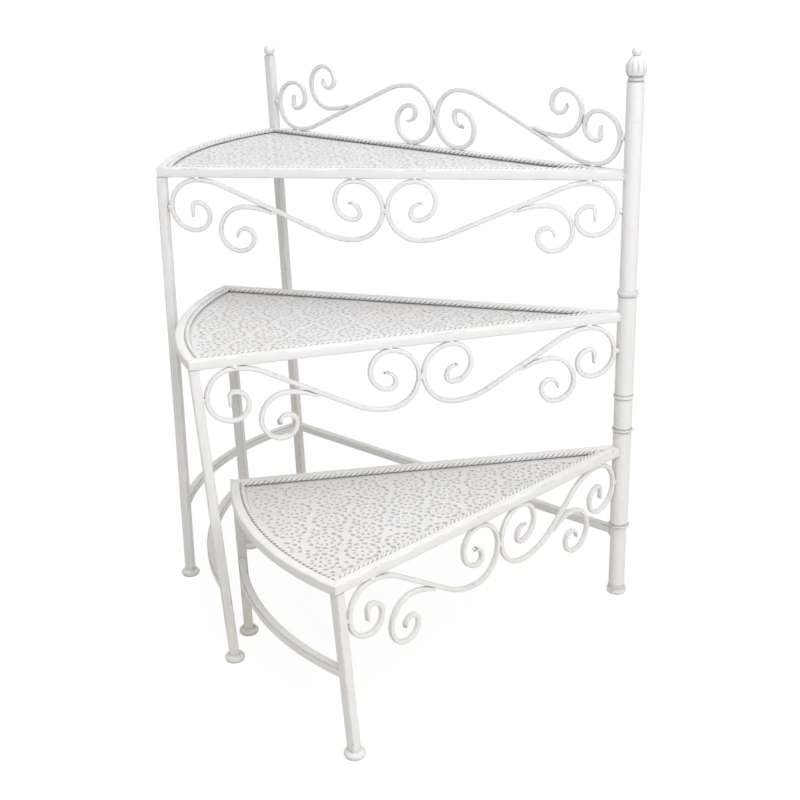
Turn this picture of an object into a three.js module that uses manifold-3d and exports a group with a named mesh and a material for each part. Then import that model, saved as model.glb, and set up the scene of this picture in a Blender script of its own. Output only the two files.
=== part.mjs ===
// A spiral plant stand of painted steel: three wedge shelves at three heights round one column.
// The top frame is fixed to the column. The middle and the lower frame hang on sleeves and
// swivel about the column, so that they nest under the frame above.
// Millimetres, +Z up. The origin is the middle of the column's foot, on the floor.

import * as THREE from 'three';
import { mergeVertices } from 'three/addons/utils/BufferGeometryUtils.js';
import Module from 'manifold-3d';

const wasm = await Module();
wasm.setup();

// ---------------------------------------------------------------- driving dimensions

const seat = 0.3; // gap at a weld, a rest or a running fit

// Stock
const tube = 12.5; // square tube of the frames
const stretcherTube = 11; // square tube of the stretchers
const scrollBar = 6; // square bar of the scrollwork
const plateThickness = 1.2;
const plateRecess = 5.5; // top of the plate below the top of the rim
const ropeDiameter = 5;

// Column, from the floor up
const poleDiameter = 22.2;
const sleeveWall = 0.9;
const sleeveDiameter = poleDiameter + 2 * (seat + sleeveWall);
const columnFoot = { diameter: 27, height: 12, waist: 25, edge: 0.6, shoulder: 6.6, waistFrom: 8.6 };
// wall: from the ring's bore to its outer face
const ringBase = { wall: 3.35, height: 2.6, aboveStretcher: 4.2 };
const ringOverLower = { wall: 3.1, height: 3.2, aboveRim: 22 };
const spacerLength = 44;
const ringUnderMiddle = { wall: 2.6, height: 4.4 }; // lies on the spacer
const ringOverMiddle = { wall: 2.4, height: 7, aboveRim: 22.1 };
const ringEdge = 0.25; // chamfer of a ring, as a share of its height
const poleTop = 718.5;
const finial = { collar: 19, collarHeight: 6, bulb: 27, bulbHeight: 24.5, neck: 8.4, ball: 12.4 };
// shares of the bulb's radius and height
const bulbProfile = [[0.86, 0.06], [0.97, 0.2], [1, 0.36], [0.95, 0.55], [0.8, 0.73], [0.58, 0.88]];

// Shelves. reach: from the column's axis to the chord between the two outer corners.
// rise: how far the arc bulges past that chord. turn: angle of the shelf's middle line.
// frontLeg, backLeg: how far the leg's head and its foot stand off the corner of the rim,
// outwards and frontwards. panelMiddle: from the outer corner to where the panel's halves meet.
// legGap, columnGap: between the panel and its neighbours.
// panelSwing: how many degrees the panel stands off the bar's own direction.
const halfWidth = 165; // of every shelf at its outer corners
const frontOffset = 6; // the front bar's outer face passes this far in front of the axis
const backOffset = 2; // and the back bar's outer face this far behind it
const shelves = {
  top: {
    rimTop: 607, reach: 604.6, rise: 42, turn: 155.91,
    stretcherTop: 117, stretcherRise: 39.3,
    frontLeg: { headOut: 2, headFront: 0.9, footOut: 2.6, footFront: 19 },
    backLeg: { headOut: 0, headFront: 0, footOut: -11.2, footFront: 0.1 },
    panelMiddle: 307.5, legGap: 0.5, columnGap: 2.6, panelSwing: 0,
  },
  middle: {
    rimTop: 420.2, reach: 555.3, rise: 38.5, turn: 179,
    stretcherTop: 113.9, stretcherRise: 31.9,
    frontLeg: { headOut: 0, headFront: 0, footOut: -23.2, footFront: 5.1 },
    backLeg: { headOut: 0, headFront: 0, footOut: -7, footFront: -1.1 },
    panelMiddle: 294.4, legGap: 3.6, columnGap: 2.6, panelSwing: 0,
  },
  lower: {
    rimTop: 228.4, reach: 508.2, rise: 33.5, turn: 206.57,
    stretcherTop: 117.4, stretcherRise: 31.5,
    frontLeg: { headOut: -1.5, headFront: 0.7, footOut: -11, footFront: 8.4 },
    backLeg: { headOut: 0, headFront: 0, footOut: -1.9, footFront: 2.2 },
    panelMiddle: 281.3, legGap: 6.4, columnGap: 0.6, panelSwing: 0.5,
  },
};

// Feet and the post of the back rail
const foot = { diameter: 26.5, height: 9 };
// shares of the foot's radius and height
const footProfile = [[0.88, 0], [1, 0.3], [0.95, 0.66], [0.8, 0.88], [0.62, 1]];
const postTop = 716;
const ballCap = { diameter: 16, neck: 11, height: 15 };
const gusset = { length: 5, height: 6.5 };
const stretcherDrop = 15.2; // of the straight stretcher, from the leg to the column

// Scrollwork: radii of the quarter bends, from the long diagonal of the S inwards
const outerVolute = [37, 31.5, 20.5, 17.5, 6];
const outerTipLength = 14;
const innerVolute = [41.6, 37.4, 26.8, 24.9, 8.6, 13.7];
const shoulderBend = 80; // where the diagonal leaves the outer volute
const bellyBend = 95; // where it runs into the inner volute
const bendLimit = 0.92; // share of the diagonal that these two bends may use up
const curlVolute = [34, 26.5, 18.9, 12, 10.5];
const curlRun = 39; // how far the C's first bend, beside the diagonal, runs along the panel
// along the panel, from the S's small volute to the C beside it, and less than 0 where they
// pass at different heights
const curlGap = { outer: 8, inner: -1.2 };
const railLegGap = 5; // from the post to the rail's outer S
const railColumnGap = 2.6;
const railMiddle = 316;
const tipLength = 24; // the bar narrows over this length
const tipWidth = 3.6;

// Smoothness
const bendStep = THREE.MathUtils.degToRad(18);
const arcSteps = 16;
const columnSegments = 32;
const footSegments = 20;
const capSteps = 6;

// ---------------------------------------------------------------- materials

const paint = (colour, roughness) =>
  new THREE.MeshStandardMaterial({ color: colour, roughness, metalness: 0.1 });
const whitePaint = () => paint(0xf1efe9, 0.55);
const wornPaint = () => paint(0xd3d2cc, 0.6);
const sheetPaint = () => paint(0xe9e8e3, 0.6);

// ---------------------------------------------------------------- solids

// Leaves only the positions, joins shared corners and turns the faces outwards.
function closed(geometry) {
  geometry.deleteAttribute('normal');
  geometry.deleteAttribute('uv');
  geometry.clearGroups();
  const merged = mergeVertices(geometry, 1e-4);
  const at = merged.attributes.position;
  const index = merged.index.array;
  const kept = [];
  let volume = 0;
  const [a, b, c] = [new THREE.Vector3(), new THREE.Vector3(), new THREE.Vector3()];
  for (let i = 0; i < index.length; i += 3) {
    const [p, q, r] = [index[i], index[i + 1], index[i + 2]];
    if (p === q || q === r || r === p) continue;
    kept.push([p, q, r]);
    a.fromBufferAttribute(at, p);
    b.fromBufferAttribute(at, q);
    c.fromBufferAttribute(at, r);
    volume += a.dot(b.cross(c));
  }
  merged.setIndex(kept.flatMap((t) => (volume < 0 ? [t[0], t[2], t[1]] : t)));
  return merged;
}

function toManifold(geometry) {
  const vertProperties = Float32Array.from(geometry.attributes.position.array);
  const triVerts = Uint32Array.from(geometry.index.array);
  return new wasm.Manifold(new wasm.Mesh({ numProp: 3, vertProperties, triVerts }));
}

function cut(geometry, ...tools) {
  let solid = toManifold(geometry);
  for (const tool of tools) solid = solid.subtract(toManifold(tool));
  const mesh = solid.getMesh();
  const result = new THREE.BufferGeometry();
  result.setAttribute('position', new THREE.BufferAttribute(mesh.vertProperties, 3));
  result.setIndex(Array.from(mesh.triVerts));
  return result;
}

// An outline in plan, raised from z to z + height, with its edges chamfered if asked.
function raise(outline, z, height, chamfer = 0) {
  const geometry = new THREE.ExtrudeGeometry(new THREE.Shape(outline), {
    depth: height - 2 * chamfer,
    bevelEnabled: chamfer > 0,
    bevelThickness: chamfer,
    bevelSize: chamfer,
    bevelOffset: -chamfer,
    bevelSegments: 1,
  });
  geometry.translate(0, 0, z + chamfer);
  return closed(geometry);
}

function turned(profile, segments = columnSegments) {
  const points = profile.map(([radius, z]) => new THREE.Vector2(radius, z));
  const geometry = new THREE.LatheGeometry(points, segments);
  geometry.rotateX(Math.PI / 2);
  return closed(geometry);
}

const cylinder = (diameter, low, high) =>
  turned([[0, low], [diameter / 2, low], [diameter / 2, high], [0, high]]);

// A square tube that stands on `base`, turned to `angle` in plan, and leans over to `head`.
function standingTube(base, head, angle) {
  const rise = head.z - base.z;
  const geometry = new THREE.BoxGeometry(tube, tube, rise);
  geometry.translate(0, 0, rise / 2);
  geometry.rotateZ(angle);
  const [leanX, leanY] = [(head.x - base.x) / rise, (head.y - base.y) / rise];
  geometry.applyMatrix4(new THREE.Matrix4().makeShear(0, 0, 0, 0, leanX, leanY));
  geometry.translate(base.x, base.y, base.z);
  return closed(geometry);
}

function node(name, geometry, material) {
  const mesh = new THREE.Mesh(geometry, material);
  mesh.name = name;
  return mesh;
}

// ---------------------------------------------------------------- plan of a shelf

const v2 = (x, y) => new THREE.Vector2(x, y);

// The straight side of a wedge: along points outwards from the column, out is its normal.
function wedgeSide(shelf, isFront) {
  const offset = isFront ? frontOffset : backOffset;
  const far = Math.hypot(halfWidth, shelf.reach);
  const lean = Math.asin(offset / far);
  const half = Math.atan2(halfWidth, shelf.reach) - lean;
  const s = isFront ? 1 : -1;
  return {
    offset,
    angle: s * half,
    along: v2(Math.cos(half), s * Math.sin(half)),
    out: v2(-Math.sin(half), s * Math.cos(half)),
    length: far * Math.cos(lean),
  };
}

function wedgeArc(shelf) {
  const radius = (halfWidth ** 2 + shelf.rise ** 2) / (2 * shelf.rise);
  return { radius, middle: v2(shelf.reach + shelf.rise - radius, 0) };
}

// A point of a wedge's side: distance along it from the column, and inset from its outer face.
function onSide(side, distance, inset) {
  return side.along.clone().multiplyScalar(distance).addScaledVector(side.out, side.offset - inset);
}

function crossing(one, oneInset, other, otherInset) {
  const c1 = one.offset - oneInset;
  const c2 = other.offset - otherInset;
  const det = one.out.x * other.out.y - one.out.y * other.out.x;
  return v2((c1 * other.out.y - c2 * one.out.y) / det, (one.out.x * c2 - other.out.x * c1) / det);
}

// Where a side, inset from its outer face, meets the arc, inset by the same amount.
function corner(side, arc, inset) {
  const start = onSide(side, 0, inset).sub(arc.middle);
  const b = start.dot(side.along);
  const reach = -b + Math.sqrt(b * b - start.lengthSq() + (arc.radius - inset) ** 2);
  return onSide(side, reach, inset);
}

function arcBetween(arc, from, to) {
  const arm = from.clone().sub(arc.middle);
  const start = Math.atan2(arm.y, arm.x);
  const end = Math.atan2(to.y - arc.middle.y, to.x - arc.middle.x);
  const points = [];
  for (let i = 0; i <= arcSteps; i++) {
    const angle = THREE.MathUtils.lerp(start, end, i / arcSteps);
    points.push(v2(Math.cos(angle), Math.sin(angle)).multiplyScalar(arm.length()).add(arc.middle));
  }
  return points;
}

// The whole outline of a wedge, inset from the rim's outer faces.
function wedgeOutline(plan, inset) {
  const front = corner(plan.front, plan.arc, inset);
  const back = corner(plan.back, plan.arc, inset);
  return [crossing(plan.front, inset, plan.back, inset), ...arcBetween(plan.arc, back, front)];
}

function planOf(shelf) {
  return { front: wedgeSide(shelf, true), back: wedgeSide(shelf, false), arc: wedgeArc(shelf) };
}

// ---------------------------------------------------------------- rim, plate and trim

// A straight rim bar, mitred at the corner and against the other bar beside the column.
function rimBar(shelf, plan, isFront, columnDiameter, obstacles) {
  const side = isFront ? plan.front : plan.back;
  const other = isFront ? plan.back : plan.front;
  const outer = corner(side, plan.arc, 0);
  const inner = corner(side, plan.arc, tube);
  const mitre = inner.clone().sub(outer);
  const trim = seat / 2 / Math.abs(Math.sin(mitre.angle() - side.along.angle()));
  outer.addScaledVector(side.along, -trim);
  inner.addScaledVector(side.along, -trim);
  // the two bars' common mitre, moved half a seat to this bar's side
  const apart = seat / 2 / Math.sin(Math.abs(side.angle));
  const inside = crossing(side, tube, other, tube).addScaledVector(side.along, apart);
  const far = crossing(side, 0, other, 0).addScaledVector(side.along, apart);
  const onAxis = inside.clone().lerp(far, inside.x / (inside.x - far.x));
  const outline = [outer, inner, inside, onAxis, onSide(side, 0, 0)];
  const bar = raise(outline, shelf.rimTop - tube, tube);
  const room = cylinder(columnDiameter + 2 * seat, shelf.rimTop - 2 * tube, shelf.rimTop + tube);
  return cut(bar, room, ...obstacles);
}

function rimArc(shelf, plan, obstacles) {
  // half a seat off the mitres, which lie at about 45 degrees to the arc
  const turn = seat / Math.SQRT2 / plan.arc.radius;
  const trimmed = (side, inset) => {
    const point = corner(side, plan.arc, inset).sub(plan.arc.middle);
    point.rotateAround(v2(0, 0), side === plan.front ? -turn : turn);
    return point.add(plan.arc.middle);
  };
  const outline = [
    ...arcBetween(plan.arc, trimmed(plan.back, 0), trimmed(plan.front, 0)),
    ...arcBetween(plan.arc, trimmed(plan.front, tube), trimmed(plan.back, tube)),
  ];
  const bar = raise(outline, shelf.rimTop - tube, tube);
  return obstacles.length ? cut(bar, ...obstacles) : bar;
}

const plateBottom = (shelf) => shelf.rimTop - plateRecess - plateThickness;

function shelfPlate(shelf, plan) {
  const outline = wedgeOutline(plan, tube + ropeDiameter + 2 * seat);
  return raise(outline, plateBottom(shelf), plateThickness);
}

// The twisted trim between the plate and the rim, here as a plain bar.
function ropeTrim(shelf, plan) {
  const z = plateBottom(shelf);
  const outside = raise(wedgeOutline(plan, tube + seat), z, ropeDiameter, ropeDiameter / 4);
  const inside = wedgeOutline(plan, tube + seat + ropeDiameter);
  return cut(outside, raise(inside, z - seat, ropeDiameter + 2 * seat));
}

// The room that a post takes at the back corner of the rim.
function postRoom(shelf, side) {
  const [near, far] = [side.length - tube - seat, side.length + tube];
  const outline = [
    onSide(side, near, -tube), onSide(side, far, -tube),
    onSide(side, far, tube + seat), onSide(side, near, tube + seat),
  ];
  return raise(outline, shelf.rimTop - 2 * tube, 3 * tube);
}

// ---------------------------------------------------------------- legs, feet and stretchers

function legLine(shelf, plan, isFront) {
  const side = isFront ? plan.front : plan.back;
  const stand = isFront ? shelf.frontLeg : shelf.backLeg;
  const middle = corner(side, plan.arc, 0)
    .addScaledVector(side.along, -tube / 2)
    .addScaledVector(side.out, -tube / 2);
  const headHeight = shelf.rimTop - tube - seat;
  const at = (z) => {
    const share = (headHeight - z) / headHeight;
    const x = THREE.MathUtils.lerp(stand.headOut, stand.footOut, share);
    const y = THREE.MathUtils.lerp(stand.headFront, stand.footFront, share);
    return new THREE.Vector3(middle.x + x, middle.y + y, z);
  };
  return { at, side, headHeight };
}

const leg = (line, top) => standingTube(line.at(foot.height + seat), line.at(top), line.side.angle);

function footButton() {
  const side = footProfile.map(([width, height]) => [(foot.diameter / 2) * width, foot.height * height]);
  return turned([[0, 0], ...side, [0, foot.height]], footSegments);
}

// What lies behind the face of a leg that looks along `normal`, with a seat in front of it.
function legRoom(line, normal, z) {
  const centre = line.at(z);
  const face = v2(centre.x, centre.y).addScaledVector(normal, tube / 2 + seat);
  const across = v2(-normal.y, normal.x);
  const at = (a, n) => face.clone().addScaledVector(across, a).addScaledVector(normal, n);
  const wide = 3 * tube;
  const high = 2 * tube;
  return raise([at(-wide, 0), at(wide, 0), at(wide, -wide), at(-wide, -wide)], z - high, 2 * high);
}

// A curved tube between the two legs, at one height.
function arcStretcher(shelf, lines) {
  const z = shelf.stretcherTop - stretcherTube;
  const front = lines.front.at(z);
  const back = lines.back.at(z);
  const middle = v2((front.x + back.x) / 2, (front.y + back.y) / 2);
  const half = v2(front.x - middle.x, front.y - middle.y);
  const radius = (half.lengthSq() + shelf.stretcherRise ** 2) / (2 * shelf.stretcherRise);
  const out = v2(half.y, -half.x).normalize();
  const arc = { radius, middle: middle.clone().addScaledVector(out, shelf.stretcherRise - radius) };
  const end = (sign, amount) => {
    const ray = middle.clone().addScaledVector(half, sign).sub(arc.middle);
    return ray.setLength(radius + amount).add(arc.middle);
  };
  const outline = [
    ...arcBetween(arc, end(-1, stretcherTube / 2), end(1, stretcherTube / 2)),
    ...arcBetween(arc, end(1, -stretcherTube / 2), end(-1, -stretcherTube / 2)),
  ];
  const ends = [shelf.stretcherTop, z].flatMap((height) =>
    [lines.front, lines.back].map((line) => legRoom(line, line.side.out.clone().negate(), height)));
  return cut(raise(outline, z, stretcherTube), ...ends);
}

// ---------------------------------------------------------------- scrollwork

// Draws a centre line from bends and straights, starting at a point and heading.
function pen(x, y, heading) {
  const points = [v2(x, y)];
  const drawing = {
    points,
    line(length) {
      points.push(points.at(-1).clone().addScaledVector(v2(Math.cos(heading), Math.sin(heading)), length));
      return drawing;
    },
    // turns left by sweep, or right when sweep is negative
    bend(radius, sweep = Math.PI / 2) {
      const left = v2(-Math.sin(heading), Math.cos(heading));
      const middle = points.at(-1).clone().addScaledVector(left, Math.sign(sweep) * radius);
      const arm = points.at(-1).clone().sub(middle);
      const steps = Math.max(1, Math.ceil(Math.abs(sweep) / bendStep - 1e-9));
      for (let i = 1; i <= steps; i++) {
        points.push(arm.clone().rotateAround(v2(0, 0), (sweep * i) / steps).add(middle));
      }
      heading += sweep;
      return drawing;
    },
  };
  return drawing;
}

// The diagonal of an S that is `span` wide: its slope, straight length and end points.
// x runs from the outer edge of the S, y down from its top edge is negative.
function diagonal(span) {
  const drop = innerVolute[0] + innerVolute[1];
  const run = span - scrollBar - outerVolute[0] - innerVolute[0];
  const widest = (bendLimit * (run ** 2 + drop ** 2)) / (2 * drop);
  const shrink = Math.min(1, widest / (shoulderBend + bellyBend));
  const shoulder = shoulderBend * shrink;
  const belly = bellyBend * shrink;
  const both = shoulder + belly;
  const straight = Math.sqrt(run ** 2 + (drop - both) ** 2 - both ** 2);
  const slope = Math.atan2(drop - both, run) - Math.atan2(-both, straight);
  const top = v2(scrollBar / 2 + outerVolute[0], -scrollBar / 2);
  return { top, shoulder, belly, straight, slope };
}

function sCentreLine(span) {
  const d = diagonal(span);
  const outer = pen(d.top.x, d.top.y, Math.PI);
  for (const radius of outerVolute) outer.bend(radius);
  outer.line(outerTipLength);
  const rest = pen(d.top.x, d.top.y, 0);
  rest.bend(d.shoulder, -d.slope).line(d.straight).bend(d.belly, d.slope);
  for (const radius of innerVolute) rest.bend(radius);
  return [...outer.points.reverse(), ...rest.points.slice(1)];
}

// The C lies against the diagonal, as far along it as the gap to the S's small volute asks.
function cCentreLine(span, gap) {
  const d = diagonal(span);
  const along = v2(Math.cos(d.slope), -Math.sin(d.slope));
  const below = v2(-Math.sin(d.slope), -Math.cos(d.slope));
  const kneeX = d.top.x + d.shoulder * Math.sin(d.slope);
  const kneeY = d.top.y - d.shoulder * (1 - Math.cos(d.slope));
  const start = v2(kneeX, kneeY).addScaledVector(below, scrollBar / 2 + tipWidth / 2 + seat);
  const drawing = pen(start.x, start.y, Math.PI - d.slope);
  drawing.bend(curlRun / Math.sin(d.slope), d.slope);
  for (const radius of curlVolute) drawing.bend(radius);
  const near = Math.min(...drawing.points.map((point) => point.x));
  const move = (voluteEnd() + scrollBar + gap - near) / along.x;
  return drawing.points.map((point) => point.addScaledVector(along, move));
}

// How far the S's small volute reaches along the panel.
function voluteEnd() {
  const [, lower, returning] = outerVolute;
  return scrollBar / 2 + lower + returning;
}

// A flat bar bent along a centre line: its outline, narrowed towards both ends.
function barOutline(centreLine) {
  const lengths = [0];
  centreLine.slice(1).forEach((point, i) => lengths.push(lengths[i] + point.distanceTo(centreLine[i])));
  const left = [];
  const right = [];
  centreLine.forEach((point, i) => {
    const before = centreLine[Math.max(0, i - 1)];
    const after = centreLine[Math.min(centreLine.length - 1, i + 1)];
    const heading = after.clone().sub(before).normalize();
    const toEnd = Math.min(lengths[i], lengths.at(-1) - lengths[i]);
    const share = Math.min(1, toEnd / tipLength);
    const half = THREE.MathUtils.lerp(tipWidth, scrollBar, share) / 2;
    left.push(v2(-heading.y, heading.x).multiplyScalar(half).add(point));
    right.push(v2(heading.y, -heading.x).multiplyScalar(half).add(point));
  });
  return [...left, ...right.reverse()];
}

// One panel: an S and a C at each end, mirrored about the middle. x runs from the outer
// corner to the column, y is up, or down when the panel stands on the bar.
function scrollPanel(prefix, place, middle, outerStart, innerEnd, upright) {
  const s = upright ? -1 : 1;
  const spans = [middle - seat / 2 - outerStart, innerEnd - middle - seat / 2];
  const toPanel = [(p) => v2(outerStart + p.x, s * p.y), (p) => v2(innerEnd - p.x, s * p.y)];
  const meshes = [];
  ['outer', 'inner'].forEach((half, i) => {
    const pieces = { s: sCentreLine(spans[i]), curl: cCentreLine(spans[i], curlGap[half]) };
    for (const [kind, centreLine] of Object.entries(pieces)) {
      const outline = barOutline(centreLine).map(toPanel[i]);
      const geometry = raise(outline, -scrollBar / 2, scrollBar);
      geometry.applyMatrix4(place);
      meshes.push(node(`${prefix}_${half}_${kind}`, geometry, whitePaint()));
    }
  });
  return meshes;
}

// The plane of a panel: x towards the column from the outer corner, y up, z its thickness.
function panelPlace(side, inset, z, swing = 0) {
  const start = onSide(side, side.length, inset);
  const inward = side.along.clone().negate().rotateAround(v2(0, 0), swing);
  const x = new THREE.Vector3(inward.x, inward.y, 0);
  const y = new THREE.Vector3(0, 0, 1);
  const place = new THREE.Matrix4().makeBasis(x, y, x.clone().cross(y));
  return place.setPosition(start.x, start.y, z);
}

function shelfPanel(name, shelf, plan, columnDiameter) {
  const swing = THREE.MathUtils.degToRad(shelf.panelSwing);
  const place = panelPlace(plan.front, scrollBar / 2, shelf.rimTop - tube - seat, swing);
  const innerEnd = plan.front.length - columnDiameter / 2 - shelf.columnGap;
  return scrollPanel(`${name}_panel`, place, shelf.panelMiddle, tube + shelf.legGap, innerEnd, false);
}

// ---------------------------------------------------------------- frames

function buildFrame(name, shelf, columnDiameter) {
  const frame = new THREE.Group();
  const plan = planOf(shelf);
  const lines = { front: legLine(shelf, plan, true), back: legLine(shelf, plan, false) };
  const add = (part, geometry, material) => frame.add(node(`${name}_${part}`, geometry, material));
  // on the top frame the back leg runs on past the rim as the post of the rail
  const hasPost = name === 'top';
  const postHole = hasPost ? [postRoom(shelf, plan.back)] : [];
  add('plate', shelfPlate(shelf, plan), sheetPaint());
  add('front_bar', rimBar(shelf, plan, true, columnDiameter, []), whitePaint());
  add('back_bar', rimBar(shelf, plan, false, columnDiameter, postHole), whitePaint());
  add('arc_bar', rimArc(shelf, plan, postHole), whitePaint());
  add('rope_trim', ropeTrim(shelf, plan), wornPaint());
  add('front_leg', leg(lines.front, lines.front.headHeight), whitePaint());
  add('back_leg', leg(lines.back, hasPost ? postTop : lines.back.headHeight), whitePaint());
  for (const end of ['front', 'back']) {
    const button = node(`${name}_${end}_foot`, footButton(), whitePaint());
    const at = lines[end].at(0);
    button.position.set(at.x, at.y, 0);
    frame.add(button);
  }
  add('arc_stretcher', arcStretcher(shelf, lines), whitePaint());
  for (const mesh of shelfPanel(name, shelf, plan, columnDiameter)) frame.add(mesh);
  frame.rotation.z = THREE.MathUtils.degToRad(shelf.turn);
  return frame;
}

// The straight stretcher that falls from the top frame's back leg to the column, with its
// gusset. x runs from the middle of the leg to the column's axis, y is up.
function backStretcher(shelf, plan) {
  const line = legLine(shelf, plan, false);
  const top = shelf.stretcherTop;
  const start = line.at(top).setZ(0);
  const length = start.length();
  const columnFace = length - poleDiameter / 2;
  const underside = (x) => top - stretcherTube - (stretcherDrop * x) / columnFace;
  const profile = [
    v2(0, underside(0)), v2(columnFace - gusset.length, underside(columnFace - gusset.length)),
    v2(columnFace, underside(columnFace) - gusset.height),
    v2(length, underside(length) - gusset.height),
    v2(length, underside(length) + stretcherTube), v2(0, top),
  ];
  const x = start.clone().negate().normalize();
  const up = new THREE.Vector3(0, 0, 1);
  const place = new THREE.Matrix4().makeBasis(x, up, x.clone().cross(up)).setPosition(start);
  const bar = raise(profile, -stretcherTube / 2, stretcherTube).applyMatrix4(place);
  const rooms = [top, underside(0)].map((z) => legRoom(line, line.side.along.clone().negate(), z));
  return cut(bar, cylinder(poleDiameter + 2 * seat, 0, top + tube), ...rooms);
}

function backRail(shelf, plan) {
  const place = panelPlace(plan.back, tube / 2, shelf.rimTop + seat);
  const innerEnd = plan.back.length - poleDiameter / 2 - railColumnGap;
  return scrollPanel('rail', place, railMiddle, tube + railLegGap, innerEnd, true);
}

// The profile of a ball from the circle where it sits on its neck up to its top.
function ballProfile(r, neck, middle) {
  const start = Math.asin(neck / r);
  const points = [];
  for (let i = 0; i < capSteps; i++) {
    const angle = THREE.MathUtils.lerp(start, Math.PI, i / capSteps);
    points.push([Math.sin(angle) * r, middle - Math.cos(angle) * r]);
  }
  return [...points, [0, middle + r]];
}

function ballOnPost(line) {
  const r = ballCap.diameter / 2;
  const neck = ballCap.neck / 2;
  const profile = [[0, 0], [neck, 0], ...ballProfile(r, neck, ballCap.height - r)];
  const at = line.at(postTop + seat);
  const mesh = node('post_ball_cap', turned(profile, footSegments), whitePaint());
  mesh.position.set(at.x, at.y, at.z);
  return mesh;
}

// ---------------------------------------------------------------- column

const ringAt = (ring, low) => ({ ...ring, low, high: low + ring.height });

// The rings of the column at their heights, from the straight stretcher up.
function ringStack() {
  const stretcherEnd = shelves.top.stretcherTop - stretcherDrop;
  const base = ringAt(ringBase, stretcherEnd + ringBase.aboveStretcher);
  const overLower = ringAt(ringOverLower, shelves.lower.rimTop + ringOverLower.aboveRim);
  const underMiddle = ringAt(ringUnderMiddle, overLower.high + seat + spacerLength + seat);
  const overMiddle = ringAt(ringOverMiddle, shelves.middle.rimTop + ringOverMiddle.aboveRim);
  return { base, overLower, underMiddle, overMiddle };
}

function ringSolid({ wall, low, high }) {
  const bore = poleDiameter / 2 + seat;
  const r = bore + wall;
  const edge = (high - low) * ringEdge;
  return turned([
    [bore, low], [r - edge, low], [r, low + edge],
    [r, high - edge], [r - edge, high], [bore, high],
    [bore, low],
  ]);
}

// A sleeve that fills the pole between two rings.
function sleeveSolid(below, above) {
  const bore = poleDiameter / 2 + seat;
  const low = below.high + seat;
  const high = above.low - seat;
  const r = sleeveDiameter / 2;
  return turned([[bore, low], [r, low], [r, high], [bore, high], [bore, low]]);
}

function footSolid() {
  const { height, edge, shoulder, waistFrom } = columnFoot;
  const r = columnFoot.diameter / 2;
  const waist = columnFoot.waist / 2;
  return turned([
    [0, 0], [r - edge, 0], [r, edge], [r, shoulder], [waist, waistFrom], [waist, height], [0, height],
  ]);
}

function finialSolid() {
  const base = poleTop + seat;
  const collar = finial.collar / 2;
  const waist = base + finial.collarHeight;
  const shoulder = waist + finial.bulbHeight;
  const bulb = bulbProfile.map(([width, height]) =>
    [(finial.bulb / 2) * width, THREE.MathUtils.lerp(waist, shoulder, height)]);
  const r = finial.ball / 2;
  const neck = finial.neck / 2;
  const ball = ballProfile(r, neck, shoulder + Math.sqrt(r ** 2 - neck ** 2));
  return turned([[0, base], [collar, base], [collar, waist], ...bulb, ...ball]);
}

function columnParts(rings) {
  const pole = cylinder(poleDiameter, columnFoot.height + seat, poleTop);
  return [
    node('column_foot', footSolid(), whitePaint()),
    node('centre_pole', pole, whitePaint()),
    node('ring_base', ringSolid(rings.base), wornPaint()),
    node('ring_over_lower', ringSolid(rings.overLower), wornPaint()),
    node('spacer_sleeve', sleeveSolid(rings.overLower, rings.underMiddle), whitePaint()),
    node('ring_under_middle', ringSolid(rings.underMiddle), wornPaint()),
    node('ring_over_middle', ringSolid(rings.overMiddle), wornPaint()),
    node('finial', finialSolid(), whitePaint()),
  ];
}

// ---------------------------------------------------------------- the stand

const stand = new THREE.Group();
const rings = ringStack();

const fixedFrame = buildFrame('top', shelves.top, poleDiameter);
const topPlan = planOf(shelves.top);
fixedFrame.add(node('top_back_stretcher', backStretcher(shelves.top, topPlan), whitePaint()));
for (const mesh of backRail(shelves.top, topPlan)) fixedFrame.add(mesh);
fixedFrame.add(ballOnPost(legLine(shelves.top, topPlan, false)));

const middleFrame = buildFrame('middle', shelves.middle, sleeveDiameter);
middleFrame.add(node('middle_sleeve', sleeveSolid(rings.underMiddle, rings.overMiddle), whitePaint()));

const lowerFrame = buildFrame('lower', shelves.lower, sleeveDiameter);
lowerFrame.add(node('lower_sleeve', sleeveSolid(rings.base, rings.overLower), whitePaint()));

for (const part of columnParts(rings)) stand.add(part);
stand.add(fixedFrame, middleFrame, lowerFrame);

export default stand;
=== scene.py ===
"""Looks of the tiered plant stand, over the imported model.

Lengths are written in millimetres, as in the model's source, and become metres when a
mesh is made. A shelf's own plan has x outwards along its middle line and y frontwards.
"""

import math
import random

import bmesh
import bpy
from mathutils import Matrix, Vector, noise
from mathutils.geometry import delaunay_2d_cdt


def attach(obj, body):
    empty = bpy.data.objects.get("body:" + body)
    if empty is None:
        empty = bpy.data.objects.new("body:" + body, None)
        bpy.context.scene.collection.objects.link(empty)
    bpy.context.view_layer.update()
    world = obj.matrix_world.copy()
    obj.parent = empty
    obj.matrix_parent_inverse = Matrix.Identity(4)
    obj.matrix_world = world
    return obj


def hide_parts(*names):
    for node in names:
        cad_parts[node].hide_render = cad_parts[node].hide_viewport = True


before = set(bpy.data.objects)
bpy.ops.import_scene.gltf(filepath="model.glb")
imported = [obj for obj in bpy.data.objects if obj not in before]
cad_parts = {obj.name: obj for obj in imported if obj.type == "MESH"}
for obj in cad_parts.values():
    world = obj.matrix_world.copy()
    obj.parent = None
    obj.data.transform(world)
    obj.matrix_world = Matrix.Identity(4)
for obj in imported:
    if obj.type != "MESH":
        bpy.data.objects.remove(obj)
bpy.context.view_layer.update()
rng = random.Random(11)

# ---------------------------------------------------------------- sizes, as in the source

SEAT = 0.3
TUBE = 12.5
STRETCHER = 11.0
BAR = 6.0
PLATE_THICKNESS = 1.2
PLATE_RECESS = 5.5
ROPE = 5.0
EDGE = 1.8  # radius of a tube's edges

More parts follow.
